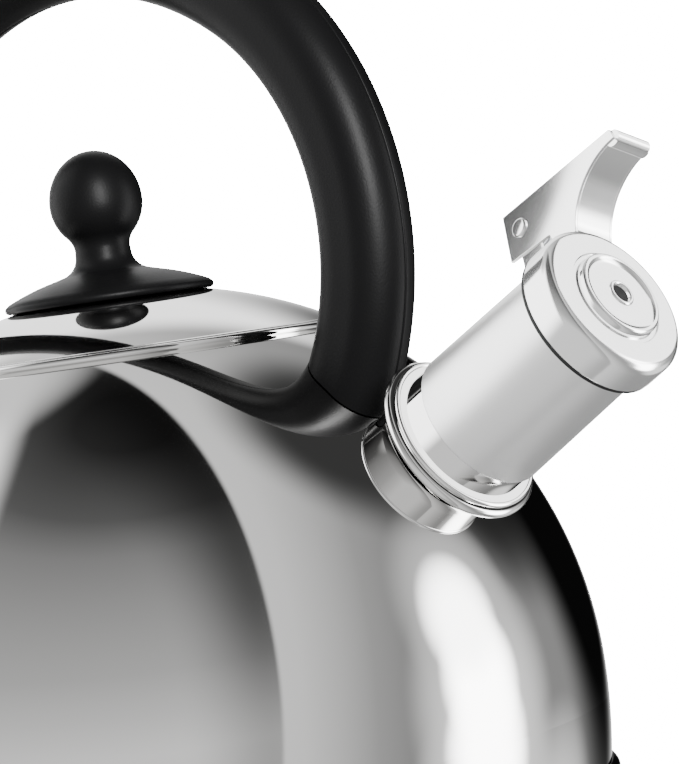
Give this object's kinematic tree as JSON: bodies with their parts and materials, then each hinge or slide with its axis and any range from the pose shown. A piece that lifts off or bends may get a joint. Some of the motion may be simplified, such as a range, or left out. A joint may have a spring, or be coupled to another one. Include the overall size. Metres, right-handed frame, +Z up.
{
  "type": "stovetop whistling kettle",
  "caption": "Polished steel dome kettle with a black arch handle, lift-off lid with ball knob, and plug-in spout whistle with a sprung flip cap and thumb lever.",
  "frame": {"origin": "centre of the flat underside of the base, on the kettle's own axis", "axes": "+Z up along the kettle axis, +X towards the spout, the handle arch and spout lie in the XZ plane"},
  "size_m": [0.2719, 0.2184, 0.2397],
  "materials": {
    "polished_steel": "mirror polished stainless steel",
    "base_steel": "plain satin stainless steel",
    "brushed_sleeve": "fine satin brushed stainless steel",
    "chrome_trim": "bright chrome plate",
    "black_handle": "satin black moulded heat-proof plastic",
    "black_rubber": "matt black silicone rubber",
    "zinc_fastener": "plain zinc-plated steel"
  },
  "bodies": {
    "kettle": {"body_shell": "polished_steel", "base_pan": "base_steel", "base_disc": "base_steel", "base_seam": "polished_steel", "mouth_collar": "polished_steel", "spout_neck": "polished_steel", "bracket_front": "base_steel", "bracket_rear": "base_steel", "bracket_studs": "zinc_fastener", "handle_left_half": "black_handle", "handle_right_half": "black_handle", "handle_screws": "zinc_fastener"},
    "lid": {"lid_shell": "polished_steel", "lid_rim": "polished_steel", "lid_skirt": "base_steel", "lid_knob": "black_handle", "knob_screw": "zinc_fastener", "knob_washer": "zinc_fastener"},
    "whistle": {"whistle_tube": "polished_steel", "whistle_sleeve": "brushed_sleeve", "plug_seal": "black_rubber", "hinge_bracket": "chrome_trim", "hinge_rivet": "chrome_trim", "hinge_spring": "zinc_fastener"},
    "cap": {"whistle_cap": "chrome_trim", "cap_gasket": "black_rubber", "whistle_back_plate": "base_steel", "whistle_face": "chrome_trim", "cap_lever": "chrome_trim"}
  },
  "joints": [
    {"name": "lid_lift", "type": "slide", "parent": "kettle", "child": "lid", "axis": [0, 0, 1], "range_m": [0, 0.034]},
    {"name": "whistle_pull", "type": "slide", "parent": "kettle", "child": "whistle", "axis": [0.8763, 0, 0.4818], "range_m": [0, 0.03]},
    {"name": "cap_flip", "type": "hinge", "parent": "whistle", "child": "cap", "pos_m": [0.12626, 0.01279, 0.14225], "axis": [-0.2013, -0.9085, 0.3662], "range_deg": [0, 60], "stiffness_Nm_per_rad": 0.03, "springref_deg": -28.65, "deforming": ["hinge_spring"]}
  ]
}
